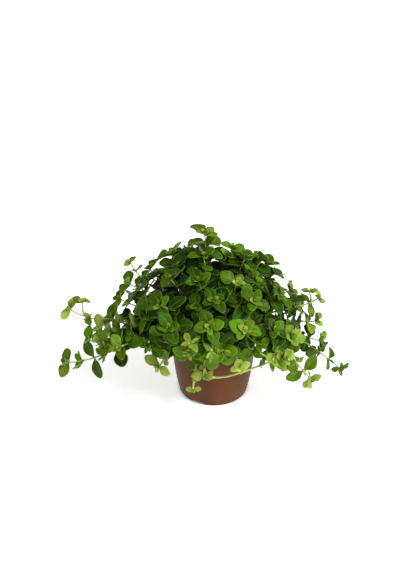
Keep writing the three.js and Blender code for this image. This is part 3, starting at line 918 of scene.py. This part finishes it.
def growTube(bm, curve, joints, radii, endAges):  # radii and ages are those at the foot and at the tip
    (footRadius, tipRadius), (footAge, tipAge) = radii, endAges
    ageLayer = bm.verts.layers.float["age"]
    before = len(bm.faces)
    ring = bmesh.ops.create_circle(bm, segments=tube["sides"], radius=1)["verts"]
    foot = edges = [bm.edges.get(pair) for pair in zip(ring, ring[1:] + ring[:1])]
    last = Matrix.Identity(4)
    turn = up.rotation_difference(curve.direction(0)).to_matrix()
    for k in range(tube["rings"] + 1):
        share = k / tube["rings"]
        if k:
            extruded = bmesh.ops.extrude_edge_only(bm, edges=edges)["geom"]
            edges = [item for item in extruded if isinstance(item, bmesh.types.BMEdge)]
            ring = [item for item in extruded if isinstance(item, bmesh.types.BMVert)]
        heading = curve.direction(share)
        turn = (turn @ up).rotation_difference(heading).to_matrix() @ turn
        fromJoint = abs(share * joints - round(share * joints)) / joints * curve.lengths[-1]
        radius = footRadius + (tipRadius - footRadius) * share
        radius *= 1 + tube["knuckle"] * math.exp(-(fromJoint / tube["knuckleReach"]) ** 2)
        now = Matrix.Translation(curve.place(share) * mm) @ turn.to_4x4() @ Matrix.Scale(radius * mm, 4)
        bmesh.ops.transform(bm, matrix=now @ last.inverted(), verts=ring)
        last = now
        for vert in ring:
            vert[ageLayer] = footAge + (tipAge - footAge) * share
    bmesh.ops.edgeloop_fill(bm, edges=foot + edges)
    bm.faces.ensure_lookup_table()
    faces = bm.faces[before:]
    bmesh.ops.recalc_face_normals(bm, faces=faces)
    for face in faces:
        face.smooth = True
        face.material_index = 1


def tipPlace(curve, around, opening):  # a small leaf of the bud, set straight on the stem's tip
    heading = curve.direction(1)
    side = heading.orthogonal().normalized()
    above = heading.cross(side)
    around, opening = math.radians(around), math.radians(opening)
    out = side * math.cos(around) + above * math.sin(around)
    midrib = (heading * math.cos(opening) + out * math.sin(opening)).normalized()
    face = (heading * math.sin(opening) - out * math.cos(opening)).normalized()
    return curve.place(1) - heading * bud["inset"], midrib, face.cross(midrib), face


def firstLeafAge(tip, draw):  # the age of a shoot's first leaves: paler at the plant's ends and top, partly fresher growth and partly painted light
    lowest, highest = bud["youthAndLightRise"]
    outer = max((tip.xy.length - pot["rimRadius"]) / bud["youthAndLightReach"],
                (tip.z - pot["height"] - lowest) / (highest - lowest))
    return draw.uniform(*bud["firstAge"]) - bud["youthAndLightPaling"] * min(1, max(0, outer))


def leafAge(pair, young, firstAge, draw):
    if young:
        return min(1, ages["young"] + ages["youngStep"] * pair + draw.uniform(0, ages["youngSpread"]))
    ageing = ages["step"] + ages["stepByAge"] * max(0, firstAge)
    return min(1, firstAge + ageing * pair + draw.uniform(-ages["spread"], ages["spread"]))


def growBud(bm, curve, size, young, firstAge, slimness, draw):
    turn = draw.uniform(0, 360)
    (smallest, largest), (closed, opened) = bud["size"], bud["opening"]
    for k in range(bud["leaves"]):
        part = (k + draw.random()) / bud["leaves"]
        place = tipPlace(curve, turn + bud["turn"] * k, closed + (opened - closed) * part)
        age = draw.uniform(*ages["youngBud"]) if young else firstAge * draw.uniform(*ages["budShare"])
        growBlade(bm, place, size * (smallest + (largest - smallest) * part), age, slimness, draw)


def dressStem(bm, curve, row, seed, branch, solid, name, draw):
    azimuth, pairs, pace, size = row
    young = name in youngShoots
    slimness = blade["slimness"] if name in slimShoots else 1
    flesh = tube["youngFlesh"] if young else 1
    radii = (tube["sideFoot"] if branch else tube["foot"]) * flesh, tube["tip"] * flesh
    endAges = ages["youngStem"] if young else ages["stem"]
    firstAge = firstLeafAge(curve.handles[3], draw)
    growTube(bm, curve, stemJoints(curve, pace, pairs)[0], radii, endAges)
    for place, grown, pair in leafPlaces(curve, azimuth, pairs, pace, size, seed, branch, solid):
        growBlade(bm, place, grown, leafAge(pair, young, firstAge, draw), slimness, draw)
    if not young:
        for place, grown in innerPlaces(curve, azimuth, pairs, pace, draw):
            # the darkest ages: older leaves, partly darkened as painted shade deep in the plant
            growBlade(bm, place, grown, draw.uniform(*ages["inner"]), 1, draw)
    for place, grown, joint in axilPlaces(curve, azimuth, pairs, pace, draw):
        age = leafAge(joint * ages["axilShare"], young, firstAge, draw)
        growBlade(bm, place, size * grown, age, slimness, draw)
    growBud(bm, curve, size, young, firstAge, slimness, draw)


def plantingPlan():  # every shoot's name and row, in the order that the growing rule numbers them
    plan = list(shoots.items())
    for name, (count, first, last, beyond, rise, *rest) in farRows.items():
        for k in range(count):
            azimuth = first + (last - first) * k / (count - 1)
            further = farScatter["beyond"] * chance(k, count, 1)
            higher = farScatter["rise"] * chance(k, count, 2)
            plan.append((f"{name}_{k + 1}", [azimuth, beyond + further, rise + higher, *rest]))
    return plan


def growPlant():
    for seed, (name, row) in enumerate(plantingPlan()):
        draw = random.Random(seed + firstSeed)
        solid = Solid(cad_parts[name])
        pairs, pace, size = row[6:]
        curves = [stemCurve(row, turn) for turn in footTurns]
        main = min(curves, key=lambda curve: solid.ringError(curve.handles[0]))
        bm = newShoot()
        dressStem(bm, main, (row[0], pairs, pace, size), seed, 0, solid, name, draw)
        if name in sideStems:
            sideRow = sideStems[name]
            share = sideRow[4] / stemJoints(main, pace, pairs)[0]
            curves = [sideCurve(main, share, sideRow, turn) for turn in sideTurns]
            side = min(curves, key=lambda curve: solid.ringError(curve.handles[3]))
            dressStem(bm, side, (sideRow[0], *sideRow[5:]), seed, 1, solid, name, draw)
        pieceFromBmesh(bm, name + "_shoot", [leafSkin, stemSkin], [name])


growPlant()
print("shoots grown")


# Floor, light and camera.

studio = {
    "skyStrength": 0.38, "backdropStrength": 1,
    "floorHalf": 14, "paper": (0.9, 0.9, 0.9, 1), "paperRoughness": 0.9,
    "floorGlow": 0.66, "glowFrom": (0.044, 0.058),  # the paper glows softly, from the pot's foot outwards
    "softboxes": {"key": (2.1, 20, (24, 34, 0)), "side": (1.0, 30, (20, 76, 0))},  # strength, angle, turns
    "lens": 45.1, "cameraPlace": (-0.020, -0.892, 0.643), "cameraTilt": 62.2,
}


def makeFloor():
    bm = bmesh.new()
    bmesh.ops.create_grid(bm, x_segments=1, y_segments=1, size=studio["floorHalf"])
    paper = Shade("white paper")
    paper.shader.inputs["Base Color"].default_value = studio["paper"]
    paper.shader.inputs["Roughness"].default_value = studio["paperRoughness"]
    paper.shader.inputs["Emission Color"].default_value = white
    place = paper.node("ShaderNodeTexCoord")
    reach = paper.node("ShaderNodeVectorMath", operation="LENGTH")
    paper.link(place.outputs["Object"], reach.inputs[0])
    glow = paper.step(reach.outputs["Value"], *studio["glowFrom"], 0.0, studio["floorGlow"])
    paper.link(glow, paper.shader.inputs["Emission Strength"])
    floor = objectFrom(bm, "floor")
    floor.data.materials.append(paper.material)


def makeSky():
    world = bpy.data.worlds.new("studio")
    world.use_nodes = True
    nodes, links = world.node_tree.nodes, world.node_tree.links
    sky = nodes["Background"]
    sky.inputs["Color"].default_value = white
    seen = nodes.new("ShaderNodeLightPath")  # the backdrop looks white, and lights softly
    strength = nodes.new("ShaderNodeMapRange")
    strength.inputs["To Min"].default_value = studio["skyStrength"]
    strength.inputs["To Max"].default_value = studio["backdropStrength"]
    links.new(seen.outputs["Is Camera Ray"], strength.inputs["Value"])
    links.new(strength.outputs[0], sky.inputs["Strength"])
    bpy.context.scene.world = world


def makeSoftboxes():
    for name, (strength, angle, turns) in studio["softboxes"].items():
        lamp = bpy.data.lights.new(name, "SUN")
        lamp.energy = strength
        lamp.angle = math.radians(angle)
        softbox = bpy.data.objects.new(name, lamp)
        softbox.rotation_euler = [math.radians(turn) for turn in turns]
        bpy.context.scene.collection.objects.link(softbox)


def makeCamera():
    lens = bpy.data.cameras.new("camera")
    lens.lens = studio["lens"]
    camera = bpy.data.objects.new("camera", lens)
    camera.location = studio["cameraPlace"]
    camera.rotation_euler = (math.radians(studio["cameraTilt"]), 0, 0)
    bpy.context.scene.collection.objects.link(camera)
    bpy.context.scene.camera = camera


bpy.context.scene.view_settings.view_transform = "Standard"
makeFloor()
makeSky()
makeSoftboxes()
makeCamera()
print("studio ready")
